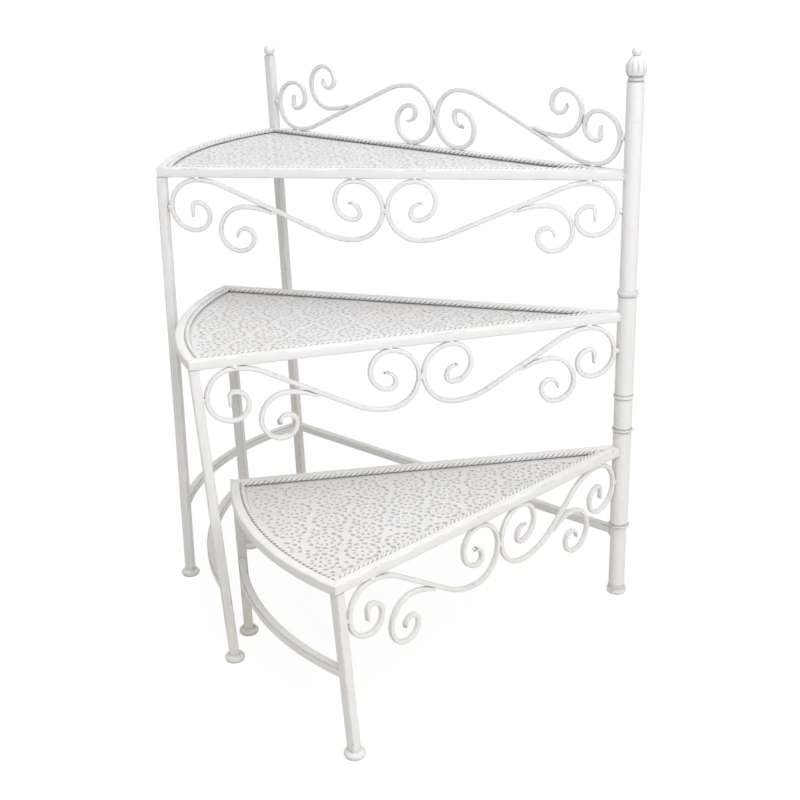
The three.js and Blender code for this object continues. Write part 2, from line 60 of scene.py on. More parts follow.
POLE = 22.2
SLEEVE = 24.6
FOOT_HEIGHT = 12.0
RINGS = {
    "ring_base": (29.5, 106.0, 108.6),
    "ring_over_lower": (29.0, 250.4, 253.6),
    "ring_under_middle": (28.0, 298.2, 302.6),
    "ring_over_middle": (27.6, 442.3, 449.3),
}
POLE_TOP = 718.5
BULB, FLUTES = 27.0, 10
BALL, BALL_NECK = 12.4, 8.4

HALF_WIDTH = 165.0
FRONT_OFFSET = 6.0
BACK_OFFSET = 2.0
SHELVES = {
    "top": dict(
        body="fixed_stand", rim=607.0, reach=604.6, rise=42.0, turn=155.91,
        stretcher=117.0, stretcher_rise=39.3, column=POLE,
        front=((2.0, 0.9), (2.6, 19.0)), back=((0.0, 0.0), (-11.2, 0.1)),
        middle=307.5, leg_gap=0.5, column_gap=2.6, swing=0.0,
    ),
    "middle": dict(
        body="middle_frame", rim=420.2, reach=555.3, rise=38.5, turn=179.0,
        stretcher=113.9, stretcher_rise=31.9, column=SLEEVE,
        front=((0.0, 0.0), (-23.2, 5.1)), back=((0.0, 0.0), (-7.0, -1.1)),
        middle=294.4, leg_gap=3.6, column_gap=2.6, swing=0.0,
    ),
    "lower": dict(
        body="lower_frame", rim=228.4, reach=508.2, rise=33.5, turn=206.57,
        stretcher=117.4, stretcher_rise=31.5, column=SLEEVE,
        front=((-1.5, 0.7), (-11.0, 8.4)), back=((0.0, 0.0), (-1.9, 2.2)),
        middle=281.3, leg_gap=6.4, column_gap=0.6, swing=0.5,
    ),
}
STRETCHER_DROP = 15.2
FOOT = (26.5, 9.0)
POST_TOP = 716.0
BALL_CAP = (16.0, 11.0, 15.0)

OUTER_VOLUTE = (37, 31.5, 20.5, 17.5, 6)
OUTER_TIP = 14
INNER_VOLUTE = (41.6, 37.4, 26.8, 24.9, 8.6, 13.7)
SHOULDER, BELLY, BEND_LIMIT = 80.0, 95.0, 0.92
CURL_VOLUTE = (34, 26.5, 18.9, 12, 10.5)
CURL_RUN = 39.0
CURL_GAP = {"outer": 8.0, "inner": -1.2}
RAIL_LEG_GAP, RAIL_COLUMN_GAP, RAIL_MIDDLE = 5.0, 2.6, 316.0
TIP_LENGTH, TIP_WIDTH = 24.0, 3.6

# holes of the plates: long and short diameter, how uneven, and the radius of their circle
ROSETTE_STEP, ROSETTE_ROW = 54.0, 46.8
BEAN, BEAN_CIRCLE, BEANS = (8.9, 5.4, 0.08), 19.6, 12
DASH, DASH_CIRCLE, DASHES = (5.6, 3.3, 0.06), 10.4, 10
EYE = (4.2, 4.2, 0.05)
PEBBLE_LONG, PEBBLE_SHORT, PEBBLE_ROUGH = (5.6, 6.1), (4.9, 5.5), 0.08  # from, to
PEBBLE_STEP, PEBBLE_FREE = 7.8, 26.3  # free: how far pebbles keep from a rosette's middle
PIP, PIP_ROUGH, PIP_STEP, PIP_BORDER = (2.9, 1.9), 0.05, 5.6, 7.2
HOLE_GROWTH = (0.90, 1.05)
HOLE_MARGIN, PIP_MARGIN = 8.6, 6.5  # of the middles, from the sheet's edge
# lip of a hole, from above: size, depth, and how much darker it is, painted shade down in the hole
LIP = ((0.96, 0.2, 0.7), (0.86, 1.0, 0.75), (0.66, 2.8, 0.9), (0.78, 2.9, 0.6))

STRAND, STRAND_OFFSET, STRAND_TURN = 1.7, 1.5, 14.5
STRAND_LIFT = 1.4  # of the twisted trim's middle, over that of the model's plain bar

ARC_STEPS = 56

# ---------------------------------------------------------------- camera

IMAGE_PIXELS, FOCAL_PIXELS, SENSOR = 800.0, 1323.0504, 36.0
CAMERA_AT = (-0.302610, -1.666310, 0.955425)
pitch, roll = math.radians(21.38833), math.radians(1.553447)
level = Vector((1, 0, 0))
down = Vector((0, -math.sin(pitch), -math.cos(pitch)))
look = Vector((0, math.cos(pitch), -math.sin(pitch)))
image_right = math.cos(roll) * level + math.sin(roll) * down
image_down = -math.sin(roll) * level + math.cos(roll) * down

camera_data = bpy.data.cameras.new("camera")
camera_data.sensor_width = SENSOR
camera_data.lens = FOCAL_PIXELS * SENSOR / IMAGE_PIXELS
camera = bpy.data.objects.new("camera", camera_data)
axes = Matrix((image_right, -image_down, -look)).transposed().to_4x4()
camera.matrix_world = Matrix.Translation(CAMERA_AT) @ axes
camera_data.clip_start = 0.05
camera_data.clip_end = 100.0
bpy.context.scene.collection.objects.link(camera)
bpy.context.scene.camera = camera

# ---------------------------------------------------------------- materials


def painted(name, base, wear, dirt_and_shade, wear_amount, speckle, rough):
    """Brushed enamel: cloudy tone, painted shade towards the floor, rubbed edges, dirty paint and
    painted shade in the crevices, a fine orange peel.
    """
    made = bpy.data.materials.new(name)
    made.use_nodes = True
    tree = made.node_tree
    tree.nodes.clear()
    new, join = tree.nodes.new, tree.links.new
    out = new("ShaderNodeOutputMaterial")
    shader = new("ShaderNodeBsdfPrincipled")
    join(shader.outputs[0], out.inputs[0])
    place = new("ShaderNodeTexCoord").outputs["Object"]

    def noise_at(scale, detail=3.0, roughness=0.55):
        node = new("ShaderNodeTexNoise")
        node.inputs["Scale"].default_value = scale
        node.inputs["Detail"].default_value = detail
        node.inputs["Roughness"].default_value = roughness
        join(place, node.inputs["Vector"])
        return node.outputs[0]

    def spread(value, low, high, to_low=0.0, to_high=1.0):
        node = new("ShaderNodeMapRange")
        node.interpolation_type = "SMOOTHSTEP"
        for socket, number in zip(node.inputs[1:5], (low, high, to_low, to_high)):
            socket.default_value = number
        join(value, node.inputs[0])
        return node.outputs[0]

    def maths(kind, one, two):
        node = new("ShaderNodeMath")
        node.operation = kind
        for socket, item in zip(node.inputs, (one, two)):
            if isinstance(item, (int, float)):
                socket.default_value = item
            else:
                join(item, socket)
        return node.outputs[0]

    def mixed(share, one, two):
        node = new("ShaderNodeMix")
        node.data_type = "RGBA"
        join(share, node.inputs[0])
        for socket, item in zip((node.inputs[6], node.inputs[7]), (one, two)):
            if isinstance(item, tuple):
                socket.default_value = (*item, 1.0)
            else:
                join(item, socket)
        return node.outputs[2]

    def attribute(kind):
        node = new("ShaderNodeAttribute")
        node.attribute_name = kind
        return node.outputs["Fac"]

    # cloudy tone, with painted shade: darker and yellower towards the floor
    height = new("ShaderNodeSeparateXYZ")
    join(place, height.inputs[0])
    low = spread(height.outputs[2], 0.05, 0.55, 1.0, 0.25)
    cloudy = maths("MULTIPLY", spread(noise_at(9.0, 4.0), 0.32, 0.68, 0.35, 1.0), low)
    warm_shade = tuple(c * k for c, k in zip(base, (0.955, 0.935, 0.865)))
    colour = mixed(cloudy, base, warm_shade)
    # rubbed spots: a few anywhere, many more along the edges
    spots = spread(noise_at(150.0, 6.0, 0.7), 0.46, 0.68)
    patches = spread(noise_at(22.0, 3.0), 0.36, 0.60)
    edge = maths("MULTIPLY", attribute("edge"), wear_amount)
    rubbed = maths("MULTIPLY", maths("MULTIPLY", spots, patches), maths("ADD", edge, speckle))
    # and a thin grey line along them, that comes and goes
    line = maths("MULTIPLY", maths("MULTIPLY", attribute("edge"), 0.40 * wear_amount), patches)
    colour = mixed(maths("MINIMUM", maths("MAXIMUM", rubbed, line), 1.0), colour, wear)
    # dirty paint and painted shade where pieces meet: the ambient occlusion is painted shade in the
    # crevices
    cavity = new("ShaderNodeAmbientOcclusion")
    cavity.samples = 6
    cavity.inputs["Distance"].default_value = 0.005
    crevice_shade = spread(cavity.outputs["AO"], 0.75, 0.25)
    darkness = maths("MULTIPLY", spread(noise_at(300.0, 4.0), 0.25, 0.6, 0.45, 1.0), attribute("dirt_and_shade"))
    darkness = maths("MAXIMUM", darkness, maths("MULTIPLY", crevice_shade, 0.38))
    colour = mixed(maths("MINIMUM", darkness, 1.0), colour, dirt_and_shade)
    join(colour, shader.inputs["Base Color"])
    join(spread(noise_at(60.0, 3.0), 0.3, 0.7, rough - 0.07, rough + 0.09), shader.inputs["Roughness"])
    bump = new("ShaderNodeBump")
    bump.inputs["Strength"].default_value = 0.35
    bump.inputs["Distance"].default_value = 0.0004
    fine = maths("MULTIPLY", noise_at(700.0, 3.0), 0.5)
    join(maths("ADD", fine, noise_at(120.0, 3.0)), bump.inputs["Height"])
    join(bump.outputs[0], shader.inputs["Normal"])
    return made


# paint, the colour of dirty paint and painted shade, what shows where it is rubbed; amount of wear, of
# speckle, roughness
PAINTS = {
    "white_paint": (
        (0.868, 0.87, 0.885), (0.40, 0.385, 0.36), (0.22, 0.215, 0.21), 1.0, 0.07, 0.46),
    "worn_white_paint": (
        (0.82, 0.82, 0.825), (0.40, 0.39, 0.38), (0.15, 0.165, 0.18), 0.9, 0.30, 0.5),
    "sheet_paint": (
        (0.805, 0.80, 0.815), (0.56, 0.56, 0.565), (0.49, 0.49, 0.495), 0.5, 0.10, 0.5),
}
MATERIALS = {paint: painted(paint, *looks) for paint, looks in PAINTS.items()}

# ---------------------------------------------------------------- meshes


def start_mesh():
    bm = bmesh.new()
    bm.verts.layers.float.new("edge")
    bm.verts.layers.float.new("dirt_and_shade")
    return bm


def vert(bm, point, edge=0.0, dirt_and_shade=0.0):
    v = bm.verts.new(point)
    v[bm.verts.layers.float["edge"]] = edge
    v[bm.verts.layers.float["dirt_and_shade"]] = dirt_and_shade
    return v


def piece(name, bm, body, nodes=(), slot="white_paint", sharp=40.0):
    """Makes the piece from a mesh in millimetres, on its body and in its nodes' place."""
    bmesh.ops.recalc_face_normals(bm, faces=bm.faces)
    mesh = bpy.data.meshes.new(name)
    bm.to_mesh(mesh)
    bm.free()
    mesh.transform(Matrix.Scale(0.001, 4))
    mesh.polygons.foreach_set("use_smooth", [True] * len(mesh.polygons))
    mesh.set_sharp_from_angle(angle=math.radians(sharp))
    made = bpy.data.objects.new(name, mesh)
    bpy.context.scene.collection.objects.link(made)
    mesh.materials.append(MATERIALS[slot])
    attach(made, body)
    if nodes:
        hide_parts(*nodes)
    return made


def bridge(bm, one, two, closed=True):
    count = len(one)
    for i in range(count if closed else count - 1):
        j = (i + 1) % count
        bm.faces.new((one[i], one[j], two[j], two[i]))


def lathe(bm, profile, centre=(0.0, 0.0), segments=64, radius_at=None):
    """profile: (radius, z, edge, dirt_and_shade), from the bottom up; the last is how much darker the
    paint is, painted shade at joints and in grooves. A radius of 0 is a closing point.
    """
    rings = []
    for row in profile:
        r, z, edge, dirt_and_shade = (*row, 0.0, 0.0)[:4]
        if r <= 0:
            rings.append([vert(bm, (*centre, z), edge, dirt_and_shade)])
            continue
        ring = []
        for i in range(segments):
            a = 2 * math.pi * i / segments
            rr, darkness = radius_at(r, z, a) if radius_at else (r, 0.0)
            point = (centre[0] + rr * math.cos(a), centre[1] + rr * math.sin(a), z)
            ring.append(vert(bm, point, edge, max(dirt_and_shade, darkness)))
        rings.append(ring)
    for one, two in zip(rings, rings[1:]):
        if len(one) == 1 or len(two) == 1:
            point, ring = (one[0], two) if len(one) == 1 else (two[0], one)
            for i in range(segments):
                bm.faces.new((point, ring[i], ring[(i + 1) % segments]))
        else:
            bridge(bm, one, two)
    for ring in (rings[0], rings[-1]):
        if len(ring) > 1:
            bm.faces.new(ring)


def ball_rows(radius, middle, start, steps, edge, neck_darkness):
    """Rows of a lathe's profile up a ball, from an angle over its lowest point to its top."""
    rows = []
    for i in range(steps + 1):
        a = start + (math.pi - start) * i / steps
        r = math.sin(a) * radius if i < steps else 0
        # neck_darkness makes the lowest row darker: painted shade where the ball meets its neck
        rows.append((r, middle - math.cos(a) * radius, edge, 0.0 if i else neck_darkness))
    return rows


def rounded_square(width, height, radius, steps=3):
    """Points (x, y, edge) round a rounded rectangle."""
    points = []
    for sx, sy, turn in ((1, 1, 0), (-1, 1, 90), (-1, -1, 180), (1, -1, 270)):
        for i in range(steps + 1):
            a = math.radians(turn + 90 * i / steps)
            x = sx * (width / 2 - radius) + radius * math.cos(a)
            y = sy * (height / 2 - radius) + radius * math.sin(a)
            points.append((x, y, math.sin(math.pi * i / steps)))
    return points


def sweep(bm, path, section, up, scales=None, closed=False, dirt_and_shade=None):
    """Carries a section along a path. up is the section's y, as near as the path allows."""
    rings = []
    count = len(path)
    for i, point in enumerate(path):
        before = point - path[i - 1] if (i > 0 or closed) else path[1] - point
        after = path[(i + 1) % count] - point if (i < count - 1 or closed) else before
        before, after = before.normalized(), after.normalized()
        along = (before + after).normalized()
        side = along.cross(up).normalized()
        high = side.cross(along)
        stretch = 1 / max(0.4, before.dot(along))
        wide, tall = scales[i] if scales else (1.0, 1.0)
        darkness = dirt_and_shade[i] if dirt_and_shade else 0.0
        rings.append([
            vert(bm, point + side * (x * wide * stretch) + high * (y * tall), edge, darkness)
            for x, y, edge in section])
    for one, two in zip(rings, rings[1:]):
        bridge(bm, one, two)
    if closed:
        bridge(bm, rings[-1], rings[0])
    else:
        bm.faces.new(rings[0])
        bm.faces.new(rings[-1])


def inset(outline, amounts):
    """Moves each edge of a counter-clockwise outline inwards by its own amount."""
    moved = []
    count = len(outline)
    normals = []
    for i in range(count):
        d = (outline[(i + 1) % count] - outline[i]).normalized()
        normals.append(Vector((-d.y, d.x)))
    for i, point in enumerate(outline):
        n1, n2 = normals[i - 1], normals[i]
        d1, d2 = amounts[i - 1], amounts[i]
        det = n1.x * n2.y - n1.y * n2.x
        if abs(det) < 1e-3:
            moved.append(point + n2 * ((d1 + d2) / 2))
        else:
            moved.append(point + Vector((
                (d1 * n2.y - d2 * n1.y) / det, (n1.x * d2 - n2.x * d1) / det)))
    return moved


def slab(bm, outline, low, high, place, square_ends, line=0.0, steps=3):
    """An outline raised from low to high with its edges rounded, but for the square ends.
    line: how dark the paint is along the upper edge."""
    radius = EDGE
    area = sum(a.x * b.y - b.x * a.y for a, b in zip(outline, outline[1:] + outline[:1]))
    flags = [i in square_ends for i in range(len(outline))]
    if area < 0:
        outline = outline[::-1]
        flags = flags[::-1][1:] + [flags[-1]]
    levels = []
    for i in range(steps + 1):
        a = math.radians(90 * i / steps)
        levels.append((
            radius * (1 - math.sin(a)), low + radius * (1 - math.cos(a)), math.sin(2 * a)))
    levels += [(d, low + high - z, e) for d, z, e in reversed(levels)]
    rings = []
    for amount, z, edge in levels:
        loop = inset(outline, [0.0 if f else amount for f in flags])
        darkness = line * edge if z > high - radius else 0.0
        rings.append([vert(bm, place @ Vector((p.x, p.y, z)), edge, darkness) for p in loop])
    for one, two in zip(rings, rings[1:]):
        bridge(bm, one, two)
    bm.faces.new(rings[0])
    bm.faces.new(rings[-1])


def blob(bm, size, uneven, to_place, edge, dirt_and_shade):
    """A lump of weld under paint."""
    made = bmesh.ops.create_icosphere(bm, subdivisions=3, radius=size)
    seed = Vector((rng.uniform(0, 90), rng.uniform(0, 90), rng.uniform(0, 90)))
    for v in made["verts"]:
        v.co = to_place(v.co * (1 + uneven * noise.noise(v.co * (1.6 / size) + seed)))
        v[bm.verts.layers.float["edge"]] = edge
        v[bm.verts.layers.float["dirt_and_shade"]] = dirt_and_shade


def bead(bm, centre, size, dirt_and_shade):
    """A round lump of weld, a little rubbed."""
    blob(bm, size, 0.22, lambda p: p + centre, 0.25, dirt_and_shade)


def lengths_along(points):
    """How far each point of a line is from its first."""
    lengths = [0.0]
    for one, two in zip(points, points[1:]):
        lengths.append(lengths[-1] + (two - one).length)
    return lengths


def at_distance(points, lengths, at):
    """The point of a line at a distance along it, and the step of the line there."""
    k = 0
    while lengths[k + 1] < at:
        k += 1
    share = (at - lengths[k]) / max(1e-6, lengths[k + 1] - lengths[k])
    return points[k].lerp(points[k + 1], share), points[k + 1] - points[k]


# ---------------------------------------------------------------- plan of a shelf


def v2(x, y):
    return Vector((x, y))


def turned(x, y, a):
    return v2(x * math.cos(a) - y * math.sin(a), x * math.sin(a) + y * math.cos(a))


def side_of(shelf, is_front):
    offset = FRONT_OFFSET if is_front else BACK_OFFSET
    far = math.hypot(HALF_WIDTH, shelf["reach"])
    lean = math.asin(offset / far)
    half = math.atan2(HALF_WIDTH, shelf["reach"]) - lean
    s = 1 if is_front else -1
    return dict(
        offset=offset, angle=s * half,
        along=v2(math.cos(half), s * math.sin(half)),
        out=v2(-math.sin(half), s * math.cos(half)),
        length=far * math.cos(lean),
    )


def on_side(side, distance, depth):
    return side["along"] * distance + side["out"] * (side["offset"] - depth)


def crossing(one, two, depth):
    c1, c2 = one["offset"] - depth, two["offset"] - depth
    a, b = one["out"], two["out"]
    det = a.x * b.y - a.y * b.x
    return v2((c1 * b.y - c2 * a.y) / det, (a.x * c2 - b.x * c1) / det)


def corner(side, arc, depth):
    start = on_side(side, 0, depth) - arc["middle"]
    b = start.dot(side["along"])
    reach = -b + math.sqrt(b * b - start.length_squared + (arc["radius"] - depth) ** 2)
    return on_side(side, reach, depth)


def arc_between(arc, start, end, steps=ARC_STEPS):
    arm, other = start - arc["middle"], end - arc["middle"]
    a0, a1 = math.atan2(arm.y, arm.x), math.atan2(other.y, other.x)
    return [
        arc["middle"] + v2(math.cos(a), math.sin(a)) * arm.length
        for a in (a0 + (a1 - a0) * i / steps for i in range(steps + 1))]


def plan_of(shelf):
    radius = (HALF_WIDTH ** 2 + shelf["rise"] ** 2) / (2 * shelf["rise"])
    return dict(
        front=side_of(shelf, True), back=side_of(shelf, False),
        arc=dict(radius=radius, middle=v2(shelf["reach"] + shelf["rise"] - radius, 0)))


def outline_of(plan, depth, steps=40):
    """The shelf's outline at a depth inside the rim's outer face."""
    front, back, arc = plan["front"], plan["back"], plan["arc"]
    curve = arc_between(arc, corner(back, arc, depth), corner(front, arc, depth), steps)
    return [crossing(front, back, depth), *curve]


def leg_at(shelf, plan, end, z):
    """Middle of a leg at a height, in the shelf's own plan."""
    side = plan[end]
    head, foot = shelf[end]
    middle = corner(side, plan["arc"], 0) - (side["along"] + side["out"]) * (TUBE / 2)
    top = shelf["rim"] - TUBE - SEAT
    share = (top - z) / top
    return Vector((
        middle.x + head[0] + (foot[0] - head[0]) * share,
        middle.y + head[1] + (foot[1] - head[1]) * share, z))


# ---------------------------------------------------------------- scrollwork

BEND_STEP = math.radians(6)


class Pen:
    def __init__(self, x, y, heading):
        self.points = [v2(x, y)]
        self.heading = heading

    def line(self, length):
        steps = max(1, int(length / 6))
        start = self.points[-1]
        for i in range(1, steps + 1):
            step = v2(math.cos(self.heading), math.sin(self.heading)) * (length * i / steps)
            self.points.append(start + step)
        return self

    def bend(self, radius, sweep=math.pi / 2):
        left = v2(-math.sin(self.heading), math.cos(self.heading))
        middle = self.points[-1] + left * math.copysign(radius, sweep)
        arm = self.points[-1] - middle
        steps = max(1, math.ceil(abs(sweep) / BEND_STEP - 1e-9))
        for i in range(1, steps + 1):
            a = sweep * i / steps
            self.points.append(middle + turned(arm.x, arm.y, a))
        self.heading += sweep
        return self


def diagonal(span):
    drop = INNER_VOLUTE[0] + INNER_VOLUTE[1]
    run = span - BAR - OUTER_VOLUTE[0] - INNER_VOLUTE[0]
    widest = BEND_LIMIT * (run ** 2 + drop ** 2) / (2 * drop)
    shrink = min(1, widest / (SHOULDER + BELLY))
    shoulder, belly = SHOULDER * shrink, BELLY * shrink
    both = shoulder + belly
    straight = math.sqrt(run ** 2 + (drop - both) ** 2 - both ** 2)
    slope = math.atan2(drop - both, run) - math.atan2(-both, straight)
    return v2(BAR / 2 + OUTER_VOLUTE[0], -BAR / 2), shoulder, belly, straight, slope


def s_line(span):
    top, shoulder, belly, straight, slope = diagonal(span)
    outer = Pen(top.x, top.y, math.pi)
    for radius in OUTER_VOLUTE:
        outer.bend(radius)
    outer.line(OUTER_TIP)
    rest = Pen(top.x, top.y, 0)
    rest.bend(shoulder, -slope).line(straight).bend(belly, slope)
    for radius in INNER_VOLUTE:
        rest.bend(radius)
    return outer.points[::-1] + rest.points[1:]


def c_line(span, gap):
    top, shoulder, _, _, slope = diagonal(span)
    along = v2(math.cos(slope), -math.sin(slope))
    below = v2(-math.sin(slope), -math.cos(slope))
    knee = v2(top.x + shoulder * math.sin(slope), top.y - shoulder * (1 - math.cos(slope)))
    start = knee + below * (BAR / 2 + TIP_WIDTH / 2 + SEAT)
    drawing = Pen(start.x, start.y, math.pi - slope)
    drawing.bend(CURL_RUN / math.sin(slope), slope)
    for radius in CURL_VOLUTE:
        drawing.bend(radius)
    near = min(p.x for p in drawing.points)
    volute_end = BAR / 2 + OUTER_VOLUTE[1] + OUTER_VOLUTE[2]
    move = along * ((volute_end + BAR + gap - near) / along.x)
    return [p + move for p in drawing.points]


SCROLL_SECTION = rounded_square(BAR, BAR, 1.5)


def scroll(bm, points, place):
    """A square bar along plan points, drawn out thin and broad towards both ends."""
    lengths = lengths_along(points)
    total = lengths[-1]
    path, scales, dirt_and_shade = [], [], []

    def add(point, at):
        from_end = min(at, total - at)
        share = min(1.0, from_end / TIP_LENGTH)
        share = share * share * (3 - 2 * share)
        thin = (TIP_WIDTH + (BAR - TIP_WIDTH) * share) / BAR
        broad = 1.0 + 0.12 * (1 - share)
        close = min(1.0, 0.45 + 0.55 * math.sqrt(min(1.0, from_end / 2.2)))
        path.append(place @ Vector((point.x, point.y, 0)))
        scales.append((thin * close, broad * (0.3 + 0.7 * close)))
        # darker over the last 7 mm towards each end
        dirt_and_shade.append(0.12 * (1 - min(1.0, from_end / 7.0)))

    for i, (point, at) in enumerate(zip(points, lengths)):
        if i == len(points) - 1:
            back = (points[i - 1] - point).normalized()
            for extra in (1.8, 0.9, 0.3):
                add(point + back * extra, total - extra)
        add(point, at)
        if i == 0:
            ahead = (points[1] - point).normalized()
            for extra in (0.3, 0.9, 1.8):
                add(point + ahead * extra, extra)
    up = (place.to_3x3() @ Vector((0, 0, 1))).normalized()
    sweep(bm, path, SCROLL_SECTION, up, scales, dirt_and_shade=dirt_and_shade)


def panel_place(side, depth, z, swing=0.0):
    start = on_side(side, side["length"], depth)
    inward = Matrix.Rotation(swing, 2) @ -side["along"]
    x = Vector((inward.x, inward.y, 0))
    y = Vector((0, 0, 1))
    return Matrix.Translation((start.x, start.y, z)) @ Matrix((x, y, x.cross(y))).transposed().to_4x4()


def scroll_panel(prefix, place, body, middle, outer_start, inner_end, upright, leg_gap, column_gap):
    """Two S and two C scrolls, mirror images that meet at middle, and the tacks that hold them."""
    s = -1 if upright else 1
    halves = (
        ("outer", -1, leg_gap, middle - SEAT / 2 - outer_start,
         lambda p: v2(outer_start + p.x, s * p.y)),
        ("inner", 1, column_gap, inner_end - middle - SEAT / 2,
         lambda p: v2(inner_end - p.x, s * p.y)))
    beads = start_mesh()

    def tack(x, y, size, stretch):
        local, at = Matrix.Diagonal((*stretch, 1)), Vector((x, y, 0))
        blob(beads, size, 0.25, lambda p: place @ (local @ p + at), 0.0, 0.0)

    for half, sign, gap, span, to_panel in halves:
        for kind, line in (("s", s_line(span)), ("curl", c_line(span, CURL_GAP[half]))):
            bm = start_mesh()
            points = [to_panel(p) for p in line]
            scroll(bm, points, place)
            node = f"{prefix}_{half}_{kind}"
            piece(f"{node}_look", bm, body, [node])
            if kind == "s":
                top = to_panel(v2(BAR / 2 + OUTER_VOLUTE[0], 0))
                tack(top.x, top.y - s * 0.5, 3.7, (1.25, 0.95, 1.2))
                tail = points[len(points) // 2:]
                high = max(tail, key=lambda p: s * p.y)
                edge_y = high.y + s * BAR / 2
                tack(high.x, edge_y / 2, 3.2, (1.15, max(0.9, abs(edge_y) / 2 / 3.2 + 0.5), 1.2))
                side_x = to_panel(v2(0, 0)).x + sign * (gap / 2)
                side_y = s * -(BAR / 2 + OUTER_VOLUTE[0])
                tack(side_x, side_y, 3.4, ((gap / 2 + 2.0) / 3.4, 1.1, 1.1))
            else:
                joint = points[0]
                tack(joint.x - sign, joint.y + s * 1.2, 3.0, (1.7, 0.85, 1.05))
    y = s * -(BAR / 2 + INNER_VOLUTE[0] - 1.5)
    tack(middle, y, 3.2, (0.9, 1.4, 1.15))
    piece(f"{prefix}_welds", beads, body)


# ---------------------------------------------------------------- perforated plate


def hole(centre, long, short, turn, rough, count=9):
    """The outline of an oval hole, not quite even."""
    points = []
    for i in range(count):
        a = 2 * math.pi * i / count
        k = 1 + rng.uniform(-rough, rough)
        x, y = long / 2 * k * math.cos(a), short / 2 * k * math.sin(a)
        points.append(centre + turned(x, y, turn))
    return points


def plate_holes(outline):
    """Rosettes on a staggered lattice, pebbles between them, a row of pips along the edge."""
    edges = list(zip(outline, outline[1:] + outline[:1]))

    def inside_by(p):
        depth = 1e9
        for a, b in edges:
            d = (b - a).normalized()
            depth = min(depth, (p - a).dot(v2(-d.y, d.x)))
        return depth

    holes, centres = [], []
    for j in range(-7, 8):
        for i in range(0, 16):
            along = i * ROSETTE_STEP + (j % 2) * ROSETTE_STEP / 2 + 8
            centres.append(v2(along, j * ROSETTE_ROW))
    for c in centres:
        phase = rng.uniform(0, 1)
        for k in range(BEANS):
            a = 2 * math.pi * (k + phase) / BEANS
            holes.append((c + v2(math.cos(a), math.sin(a)) * BEAN_CIRCLE, a + math.pi / 2, *BEAN))
        for k in range(DASHES):
            a = 2 * math.pi * (k + phase) / DASHES
            holes.append((c + v2(math.cos(a), math.sin(a)) * DASH_CIRCLE, a, *DASH))
        holes.append((c, 0, *EYE))
    step = PEBBLE_STEP
    for j in range(-60, 61):
        for i in range(-2, 120):
            p = v2(i * step + (j % 2) * step / 2, j * step * 0.87)
            p += v2(rng.uniform(-0.3, 0.3), rng.uniform(-0.3, 0.3))
            long, short = rng.uniform(*PEBBLE_LONG), rng.uniform(*PEBBLE_SHORT)
            turn = rng.uniform(0, math.pi)
            if min((p - c).length for c in centres) > PEBBLE_FREE:
                holes.append((p, turn, long, short, PEBBLE_ROUGH))
    made = []
    for centre, turn, long, short, rough in holes:
        if inside_by(centre) > HOLE_MARGIN + 0.55 * long:
            long *= rng.uniform(*HOLE_GROWTH)
            short *= rng.uniform(*HOLE_GROWTH)
            made.append(hole(centre, long, short, turn, rough))
    border = inset(outline, [PIP_BORDER] * len(outline))
    border.append(border[0])
    lengths = lengths_along(border)
    at = 0.0
    while at < lengths[-1] - PIP_STEP / 2:
        p, d = at_distance(border, lengths, at)
        if inside_by(p) > PIP_MARGIN:
            made.append(hole(p, *PIP, math.atan2(d.y, d.x), PIP_ROUGH, count=7))
        at += PIP_STEP
    return made


def perforated_plate(name, shelf, plan, place):
    outline = outline_of(plan, TUBE + SEAT / 2)
    holes = plate_holes(outline)
    top = shelf["rim"] - PLATE_RECESS
    points, loops = [], []
    for loop in [outline, *holes]:
        loops.append(range(len(points), len(points) + len(loop)))
        points += loop
    edges = [(loop[i], loop[(i + 1) % len(loop)]) for loop in loops for i in range(len(loop))]
    found, _, faces, origins, _, _ = delaunay_2d_cdt(points, edges, [], 0, 1e-5)
    nearest = {o: index for index, origin in enumerate(origins) for o in origin}
    owner = {nearest[i]: number for number, loop in enumerate(loops) for i in loop}
    bm = start_mesh()
    upper = [vert(bm, place @ Vector((p.x, p.y, top)), 0.35) for p in found]
    lower = [vert(bm, place @ Vector((p.x, p.y, top - PLATE_THICKNESS))) for p in found]
    for face in faces:
        owners = {owner.get(i) for i in face}
        if len(owners) == 1 and owners != {0}:
            continue  # all three corners on one hole
        bm.faces.new([upper[i] for i in face])
        bm.faces.new([lower[i] for i in reversed(face)])
    # each hole is punched from above: its lip is drawn down and in
    for number, loop in enumerate(loops):
        rim = [nearest[i] for i in loop]
        last = [upper[i] for i in rim]
        middle = sum((found[i] for i in rim), v2(0, 0)) / len(rim)
        for size, depth, darkness in LIP if number else ():
            shrunk = [middle.lerp(found[i], size) for i in rim]
            ring = [vert(bm, place @ Vector((p.x, p.y, top - depth)), 0.2, darkness) for p in shrunk]
            bridge(bm, last, ring)
            last = ring
        bridge(bm, last, [lower[i] for i in rim])
    piece(f"{name}_plate_look", bm, shelf["body"], [f"{name}_plate"], "sheet_paint", sharp=30)


# ---------------------------------------------------------------- rope trim


